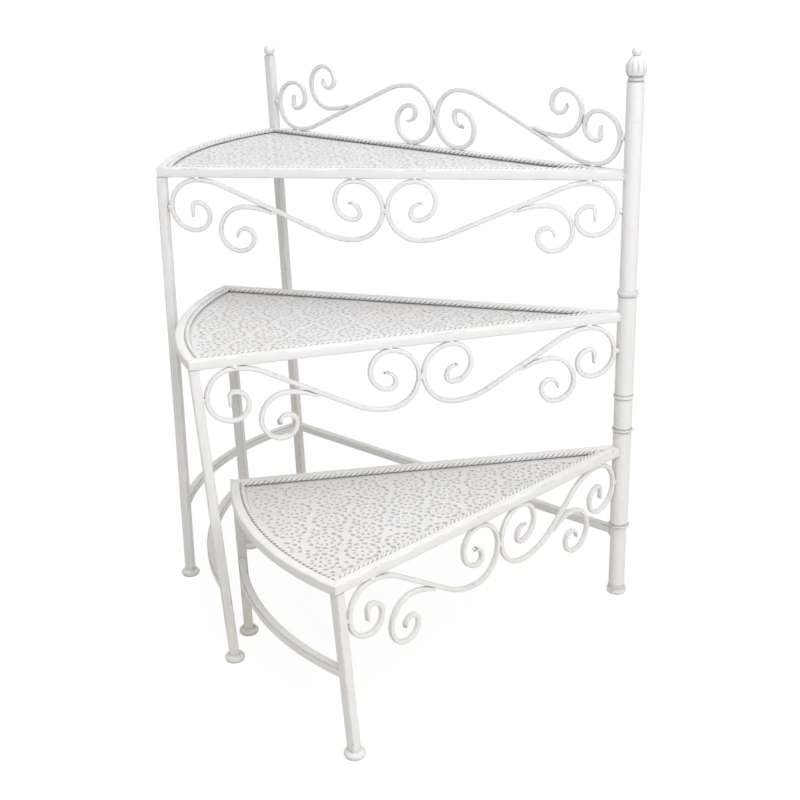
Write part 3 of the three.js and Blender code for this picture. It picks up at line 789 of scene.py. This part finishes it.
def rope_trim(name, shelf, plan, place):
    """Two strands wound round each other, along the joint of plate and rim."""
    loop = outline_of(plan, TUBE + ROPE / 2)
    loop.append(loop[0])
    z = shelf["rim"] - PLATE_RECESS + ROPE / 2 + STRAND_LIFT
    lengths = lengths_along(loop)
    turns = round(lengths[-1] / STRAND_TURN)
    steps = turns * 10
    bm = start_mesh()
    spine = []
    for i in range(steps):
        p, d = at_distance(loop, lengths, lengths[-1] * i / steps)
        d.normalize()
        spine.append((p, v2(d.y, -d.x)))
    section = []
    for i in range(8):
        a = 2 * math.pi * i / 8
        section.append((STRAND * math.cos(a), STRAND * math.sin(a), 0.0))
    for strand in (0.0, math.pi):
        path = []
        for i, (p, side) in enumerate(spine):
            a = 2 * math.pi * turns * i / steps + strand
            q = p + side * (STRAND_OFFSET * math.cos(a))
            path.append(place @ Vector((q.x, q.y, z + STRAND_OFFSET * math.sin(a))))
        sweep(bm, path, section, Vector((0, 0, 1)), closed=True)
    # painted shade in the crease between the strands and underneath
    darkness = bm.verts.layers.float["dirt_and_shade"]
    per_strand = steps * len(section)
    for index, v in enumerate(bm.verts):
        p = spine[(index % per_strand) // len(section)][0]
        axis = place @ Vector((p.x, p.y, z))
        crease = 1 - ((v.co - axis).length - 1.6) / 1.3
        low = (z - v.co.z) / (ROPE / 2)
        v[darkness] = max(0.0, min(1.0, max(0.6 * crease, 0.45 * low)))
    node = f"{name}_rope_trim"
    piece(f"{node}_look", bm, shelf["body"], [node], "worn_white_paint", sharp=60)


# ---------------------------------------------------------------- frames

# the edges of a bent band's outline that are its ends
BAND_ENDS = {ARC_STEPS, 2 * ARC_STEPS + 1}


def foot_button(name, shelf, plan, end, place):
    """A low rounded button under a leg."""
    width, height = FOOT
    at = place @ leg_at(shelf, plan, end, 0.0)
    r = width / 2
    # the last numbers make it darker at its bottom edge and under the leg: painted shade
    profile = [(0, 0), (r * 0.80, 0, 0.2, 0.5), (r * 0.90, 0.5, 0.4, 0.35)]
    for i in range(9):
        a = math.radians(-48 + 118 * i / 8)
        z = height * 0.45 + height * 0.50 * math.sin(a)
        profile.append((r * (0.62 + 0.38 * math.cos(a)), z, 0.25, 0.0))
    profile += [(r * 0.70, height * 0.97, 0.3, 0.1), (r * 0.60, height, 0.0, 0.3), (0, height)]
    bm = start_mesh()
    lathe(bm, profile, (at.x, at.y), 40)
    piece(f"{name}_{end}_foot_look", bm, shelf["body"], [f"{name}_{end}_foot"])


def tube_leg(name, shelf, plan, end, place, top):
    """A square tube between a height just inside its foot and its head."""
    turn = plan[end]["angle"]
    section = rounded_square(TUBE, TUBE, EDGE)
    bm = start_mesh()
    rings = []
    low = FOOT[1] - 0.5
    # the second numbers make the leg darker just over the foot and at its top end: painted shade at
    # the joints
    levels = ((low, 0.35), (low + 1.5, 0.12), (low + 5, 0.0), (top - 5, 0.0), (top - 0.05, 0.1))
    for z, darkness in levels:
        middle = leg_at(shelf, plan, end, z)
        ring = []
        for x, y, edge in section:
            ring.append(vert(bm, place @ (middle + turned(x, y, turn).to_3d()), edge, darkness))
        rings.append(ring)
    for one, two in zip(rings, rings[1:]):
        bridge(bm, one, two)
    bm.faces.new(rings[0])
    bm.faces.new(rings[-1])
    piece(f"{name}_{end}_leg_look", bm, shelf["body"], [f"{name}_{end}_leg"])


def frame_welds(name, shelf, plan, place):
    """Weld at the legs' heads, the stretcher's ends, the rim's corners and the column."""
    bm = start_mesh()
    for end in ("front", "back"):
        side = plan[end]
        # round the head of the leg, under the rim
        head = leg_at(shelf, plan, end, shelf["rim"] - TUBE)
        for a, o in ((-1, 0.4), (-1, -0.5), (0.3, -1), (-0.4, -1)):
            offset = (side["along"] * a + side["out"] * o) * (TUBE / 2)
            bead(bm, place @ (head + Vector((offset.x, offset.y, -0.2))), 1.5, 0.2)
        # the stretcher's end on the leg
        for dz in (-1.5, -STRETCHER + 1.5, -STRETCHER / 2):
            middle = leg_at(shelf, plan, end, shelf["stretcher"] + dz)
            inwards = side["out"] * (-TUBE / 2)
            for a in (-0.42, 0.42):
                offset = inwards + side["along"] * (a * STRETCHER)
                bead(bm, place @ (middle + offset.to_3d()), 1.35, 0.25)
        # the mitre of the rim's corner
        for depth in (0.6, 2.8, 5.0, 7.2, 9.4):
            p = corner(side, plan["arc"], depth)
            bead(bm, place @ Vector((p.x, p.y, shelf["rim"] - 0.75)), 1.25, 0.22)
        p = corner(side, plan["arc"], 0.9)
        for dz in (-3.0, -5.5, -8.0, -10.5):
            bead(bm, place @ Vector((p.x, p.y, shelf["rim"] + dz)), 1.3, 0.22)
        # the bar's end on the column
        p = on_side(side, shelf["column"] / 2 - 0.3, 0.6)
        for dz in (-1.2, -TUBE / 2, -TUBE + 1.2):
            bead(bm, place @ Vector((p.x, p.y, shelf["rim"] + dz)), 1.5, 0.18)
    piece(f"{name}_frame_welds", bm, shelf["body"])


def rim_bars(name, shelf, plan, place):
    """The front, back and curved outer bar of square tube."""
    body = shelf["body"]
    low, high = shelf["rim"] - TUBE, shelf["rim"]
    for end, other in (("front", "back"), ("back", "front")):
        side = plan[end]
        inside = crossing(side, plan[other], TUBE)
        far = crossing(side, plan[other], 0)
        on_axis = inside.lerp(far, inside.x / (inside.x - far.x))
        outline = [
            corner(side, plan["arc"], 0), corner(side, plan["arc"], TUBE),
            inside, on_axis, on_side(side, 0, 0)]
        bm = start_mesh()
        slab(bm, outline, low, high, place, {0, 2, 3})
        piece(f"{name}_{end}_bar_look", bm, body, [f"{name}_{end}_bar"])
    arc = plan["arc"]
    outline = (
        arc_between(arc, corner(plan["back"], arc, 0), corner(plan["front"], arc, 0))
        + arc_between(arc, corner(plan["front"], arc, TUBE), corner(plan["back"], arc, TUBE)))
    bm = start_mesh()
    slab(bm, outline, low, high, place, BAND_ENDS)
    piece(f"{name}_arc_bar_look", bm, body, [f"{name}_arc_bar"])


def arc_stretcher(name, shelf, plan, place):
    """The curved stretcher between the middles of the two legs."""
    z = shelf["stretcher"] - STRETCHER
    ends = [leg_at(shelf, plan, end, z).to_2d() for end in ("front", "back")]
    middle = (ends[0] + ends[1]) / 2
    half = ends[0] - middle
    rise = shelf["stretcher_rise"]
    radius = (half.length_squared + rise ** 2) / (2 * rise)
    outwards = v2(half.y, -half.x).normalized()
    bow = dict(radius=radius, middle=middle + outwards * (rise - radius))

    def end_point(sign, amount):
        ray = middle + half * sign - bow["middle"]
        return bow["middle"] + ray.normalized() * (radius + amount)

    outer, inner = STRETCHER / 2, -STRETCHER / 2
    outline = (
        arc_between(bow, end_point(-1, outer), end_point(1, outer))
        + arc_between(bow, end_point(1, inner), end_point(-1, inner)))
    bm = start_mesh()
    slab(bm, outline, z, shelf["stretcher"], place, BAND_ENDS, line=0.5)
    piece(f"{name}_arc_stretcher_look", bm, shelf["body"], [f"{name}_arc_stretcher"])


def build_frame(name, shelf):
    plan = plan_of(shelf)
    place = Matrix.Rotation(math.radians(shelf["turn"]), 4, "Z")
    rim_bars(name, shelf, plan, place)
    perforated_plate(name, shelf, plan, place)
    rope_trim(name, shelf, plan, place)
    for end in ("front", "back"):
        has_post = name == "top" and end == "back"
        leg_top = POST_TOP if has_post else shelf["rim"] - TUBE + 0.05
        tube_leg(name, shelf, plan, end, place, leg_top)
        foot_button(name, shelf, plan, end, place)
    arc_stretcher(name, shelf, plan, place)
    side = plan["front"]
    under = shelf["rim"] - TUBE - SEAT
    panel = place @ panel_place(side, BAR / 2, under, math.radians(shelf["swing"]))
    inner_end = side["length"] - shelf["column"] / 2 - shelf["column_gap"]
    scroll_panel(
        f"{name}_panel", panel, shelf["body"], shelf["middle"], TUBE + shelf["leg_gap"], inner_end,
        False, shelf["leg_gap"], shelf["column_gap"])
    frame_welds(name, shelf, plan, place)


def build_rail(shelf):
    """The back rail with the post's ball cap, and the straight stretcher under it."""
    plan = plan_of(shelf)
    place = Matrix.Rotation(math.radians(shelf["turn"]), 4, "Z")
    side = plan["back"]
    rail = place @ panel_place(side, TUBE / 2, shelf["rim"] + SEAT)
    inner_end = side["length"] - POLE / 2 - RAIL_COLUMN_GAP
    scroll_panel(
        "rail", rail, shelf["body"], RAIL_MIDDLE, TUBE + RAIL_LEG_GAP, inner_end, True,
        RAIL_LEG_GAP, RAIL_COLUMN_GAP)
    # ball cap of the post
    width, neck, height = BALL_CAP
    at = place @ leg_at(shelf, plan, "back", POST_TOP)
    r = width / 2
    start = math.asin(neck / 2 / r)
    # darker at the foot of the neck and where the ball begins: painted shade at the joints
    profile = [(neck / 2, POST_TOP - 0.1, 0, 0.7), (neck / 2, POST_TOP + 0.8, 0.2, 0.3)]
    middle = POST_TOP + SEAT + height - r
    profile += ball_rows(r, middle, start, 16, 0.15, 0.5)
    bm = start_mesh()
    lathe(bm, profile, (at.x, at.y), 40)
    piece("post_ball_cap_look", bm, shelf["body"], ["post_ball_cap"])
    # straight stretcher, with its gusset
    top = leg_at(shelf, plan, "back", shelf["stretcher"])
    start_point = place @ Vector((top.x, top.y, shelf["stretcher"] - STRETCHER / 2))
    length = start_point.to_2d().length
    fall = STRETCHER_DROP * length / (length - POLE / 2)
    end_at = Vector((0, 0, start_point.z - fall))
    bm = start_mesh()
    sweep(bm, [start_point, end_at], rounded_square(STRETCHER, STRETCHER, EDGE), Vector((0, 0, 1)))
    back = (start_point - end_at).normalized()
    foot = end_at + back * (POLE / 2 + 1.5)
    for k in range(5):
        drop = Vector((0, 0, -STRETCHER / 2 - 1.0 * k))
        bead(bm, foot + drop + back * (1.6 - 0.45 * k), 2.6 - 0.25 * k, 0.42)
    across = Vector((-back.y, back.x, 0)).normalized()
    for dz in (-3.5, 0, 3.5):
        for step in (-4.6, 4.6):
            centre = end_at + back * (POLE / 2 - 0.6) + across * step + Vector((0, 0, dz))
            bead(bm, centre, 1.6, 0.3)
    piece("top_back_stretcher_look", bm, shelf["body"], ["top_back_stretcher"])


# ---------------------------------------------------------------- column


def sleeve_profile(low, high):
    """A turned sleeve with softened ends, darker where it meets its neighbour: painted shade in the
    joint.
    """
    inner, radius, edge = POLE / 2 + 0.1, SLEEVE / 2, 0.7
    return [
        (inner, low), (radius - edge, low, 0.2, 0.5), (radius, low + edge, 0.6, 0.25),
        (radius, low + edge + 2.5, 0, 0), (radius, high - edge - 2.5, 0, 0),
        (radius, high - edge, 0.6, 0.25), (radius - edge, high, 0.2, 0.5), (inner, high)]


def ring_profile(width, low, high):
    """A turned ring with a round rim, darker below and a little above: painted shade in the crevices
    against the sleeves.
    """
    r, half = width / 2, (high - low) / 2
    darkness = {0: 0.6, 8: 0.3}
    rows = [(POLE / 2 + 0.05, low, 0, 0.7)]
    for i in range(9):
        a = math.radians(-80 + 160 * i / 8)
        z = (low + high) / 2 + half * math.sin(a)
        rows.append((r - 1.5 + 1.5 * math.cos(a), z, 0.5, darkness.get(i, 0.0)))
    rows.append((POLE / 2 + 0.05, high, 0, 0.4))
    return rows


def build_column():
    fixed = "fixed_stand"
    bm = start_mesh()
    # the last numbers make the foot darker at its bottom edge, in its groove and at its top: painted
    # shade
    lathe(bm, [
        (0, 0), (12.2, 0, 0.2, 0.5), (13.2, 0.7, 0.5, 0.3), (13.5, 2.0, 0.1, 0), (13.5, 5.6, 0.1, 0),
        (13.1, 7.2, 0.5, 0.1), (12.4, 8.3, 0.2, 0.45), (12.0, 9.2, 0.2, 0.3), (11.9, 11.9, 0.2, 0.2),
        (11.4, FOOT_HEIGHT, 0.3, 0.3), (0, FOOT_HEIGHT)])
    piece("column_foot_look", bm, fixed, ["column_foot"])
    bm = start_mesh()
    r = POLE / 2
    # the last numbers make the pole darker where it meets the foot and the finial: painted shade at
    # the joints
    lathe(bm, [
        (0, FOOT_HEIGHT), (r, FOOT_HEIGHT, 0, 0.5), (r, FOOT_HEIGHT + 3, 0, 0),
        (r, POLE_TOP - 2, 0, 0.1), (r - 0.8, POLE_TOP, 0.4, 0.6), (0, POLE_TOP)])
    piece("centre_pole_look", bm, fixed, ["centre_pole"])
    for name, (width, low, high) in RINGS.items():
        bm = start_mesh()
        lathe(bm, ring_profile(width, low, high))
        piece(f"{name}_look", bm, fixed, [name], "worn_white_paint")
    for name, below, above, body in (
        ("lower_sleeve", "ring_base", "ring_over_lower", "lower_frame"),
        ("spacer_sleeve", "ring_over_lower", "ring_under_middle", fixed),
        ("middle_sleeve", "ring_under_middle", "ring_over_middle", "middle_frame")):
        bm = start_mesh()
        lathe(bm, sleeve_profile(RINGS[below][2] + SEAT, RINGS[above][1] - SEAT))
        piece(f"{name}_look", bm, body, [name])


def build_finial():
    """Collar, fluted onion and ball."""
    base = POLE_TOP + SEAT
    waist, shoulder = base + 6.0, base + 30.5
    onion = (
        (0.80, 0.0), (0.90, 0.10), (0.97, 0.22), (1.0, 0.36), (0.975, 0.48), (0.92, 0.60),
        (0.82, 0.72), (0.68, 0.82), (0.52, 0.91), (0.38, 0.97), (0.34, 1.0))
    # the last numbers make the collar's foot, the waist and the onion's start darker: painted shade at
    # the joints
    rows = [
        (0, base), (9.5, base, 0.2, 0.6), (9.9, base + 1.0, 0.5, 0.2), (9.9, base + 3.2, 0.5, 0.1),
        (9.2, base + 4.4, 0.2, 0.55), (9.4, base + 5.4, 0.2, 0.55)]
    for share, height in onion:
        z = waist + (shoulder - waist) * height
        rows.append((BULB / 2 * share, z, 0.25, 0.7 if height == 0 else 0.0))
    ball, neck = BALL / 2, BALL_NECK / 2
    centre = shoulder + math.sqrt(ball ** 2 - neck ** 2)
    rows += ball_rows(ball, centre, math.asin(neck / ball), 12, 0.2, 0.8)

    def fluted(r, z, a):
        if not waist + 0.5 < z < shoulder - 1.0:
            return r, 0.0
        along = (z - waist) / (shoulder - waist)
        depth = math.sin(math.pi * min(1.0, along * 1.05)) ** 0.6
        groove = (1 - abs(math.cos(a * FLUTES / 2))) ** 2.2
        # darker down in the grooves: painted shade
        return r - 1.0 * depth * groove, 0.45 * groove * depth

    bm = start_mesh()
    lathe(bm, rows, segments=160, radius_at=fluted)
    piece("finial_look", bm, "fixed_stand", ["finial"], sharp=60)


for tier, shelf_sizes in SHELVES.items():
    build_frame(tier, shelf_sizes)
build_rail(SHELVES["top"])
build_column()
build_finial()

# ---------------------------------------------------------------- floor, light, background


def seen_directly(tree):
    """1 for camera, mirror and glass rays, 0 for light that falls on the object."""
    path = tree.nodes.new("ShaderNodeLightPath")
    both = tree.nodes.new("ShaderNodeMath")
    both.operation = "MAXIMUM"
    tree.links.new(path.outputs["Is Camera Ray"], both.inputs[0])
    tree.links.new(path.outputs["Is Glossy Ray"], both.inputs[1])
    every = tree.nodes.new("ShaderNodeMath")
    every.operation = "MAXIMUM"
    tree.links.new(both.outputs[0], every.inputs[0])
    tree.links.new(path.outputs["Is Transmission Ray"], every.inputs[1])
    return every.outputs[0]


# the floor glows brighter further away: from the first distance to the second, in metres
GLOW_FADE = (1.0, 5.0, 1.07, 1.16)
GLOW_SHARE = 0.86
FLOOR_HALF = 25
LAMP_COLOUR = (0.965, 0.975, 1.0)

floor_paint = bpy.data.materials.new("floor_paint")
floor_paint.use_nodes = True
nodes, links = floor_paint.node_tree.nodes, floor_paint.node_tree.links
nodes.clear()
output = nodes.new("ShaderNodeOutputMaterial")
matt = nodes.new("ShaderNodeBsdfDiffuse")
matt.inputs["Color"].default_value = (0.77, 0.76, 0.74, 1)
glow = nodes.new("ShaderNodeEmission")
glow.inputs["Color"].default_value = (1, 1, 1, 1)
spot = nodes.new("ShaderNodeTexCoord")
away = nodes.new("ShaderNodeVectorMath")
away.operation = "LENGTH"
links.new(spot.outputs["Object"], away.inputs[0])
far = nodes.new("ShaderNodeMapRange")
for socket, number in zip(far.inputs[1:5], GLOW_FADE):
    socket.default_value = number
links.new(away.outputs["Value"], far.inputs[0])
links.new(far.outputs[0], glow.inputs["Strength"])
mix = nodes.new("ShaderNodeMixShader")
share = nodes.new("ShaderNodeMath")
share.operation = "MULTIPLY"
share.inputs[1].default_value = GLOW_SHARE
links.new(seen_directly(floor_paint.node_tree), share.inputs[0])
links.new(share.outputs[0], mix.inputs[0])
links.new(matt.outputs[0], mix.inputs[1])
links.new(glow.outputs[0], mix.inputs[2])
links.new(mix.outputs[0], output.inputs[0])

bm = bmesh.new()
for x, y in ((-1, -1), (1, -1), (1, 1), (-1, 1)):
    bm.verts.new((x * FLOOR_HALF, y * FLOOR_HALF, 0))
bm.faces.new(list(bm.verts))
floor_mesh = bpy.data.meshes.new("floor")
bm.to_mesh(floor_mesh)
bm.free()
floor_mesh.materials.append(floor_paint)
floor = bpy.data.objects.new("floor", floor_mesh)
bpy.context.scene.collection.objects.link(floor)

world = bpy.data.worlds.new("studio")
world.use_nodes = True
bpy.context.scene.world = world
tree = world.node_tree
tree.nodes.clear()
output = tree.nodes.new("ShaderNodeOutputWorld")
soft = tree.nodes.new("ShaderNodeBackground")
soft.inputs["Color"].default_value = (1.0, 0.965, 0.895, 1)
soft.inputs["Strength"].default_value = 0.37
white = tree.nodes.new("ShaderNodeBackground")
white.inputs["Color"].default_value = (1, 1, 1, 1)
white.inputs["Strength"].default_value = 1.0
mix = tree.nodes.new("ShaderNodeMixShader")
tree.links.new(seen_directly(tree), mix.inputs[0])
tree.links.new(soft.outputs[0], mix.inputs[1])
tree.links.new(white.outputs[0], mix.inputs[2])
tree.links.new(mix.outputs[0], output.inputs[0])


def softbox(name, place, aim, size, power):
    data = bpy.data.lights.new(name, "AREA")
    data.shape = "SQUARE"
    data.size = size
    data.energy = power
    data.color = LAMP_COLOUR
    lamp = bpy.data.objects.new(name, data)
    lamp.location = place
    lamp.rotation_euler = (Vector(aim) - Vector(place)).to_track_quat("-Z", "Y").to_euler()
    bpy.context.scene.collection.objects.link(lamp)


middle_of_stand = (-0.3, 0.0, 0.35)
softbox("key_light", (1.7, -2.3, 2.3), middle_of_stand, 2.6, 52)
softbox("top_light", (-0.4, 0.2, 6.0), middle_of_stand, 6.5, 168)
softbox("front_light", (-0.3, -1.25, 1.55), (-0.25, 0.0, 0.8), 0.8, 7.4)

bpy.context.scene.view_settings.view_transform = "Standard"
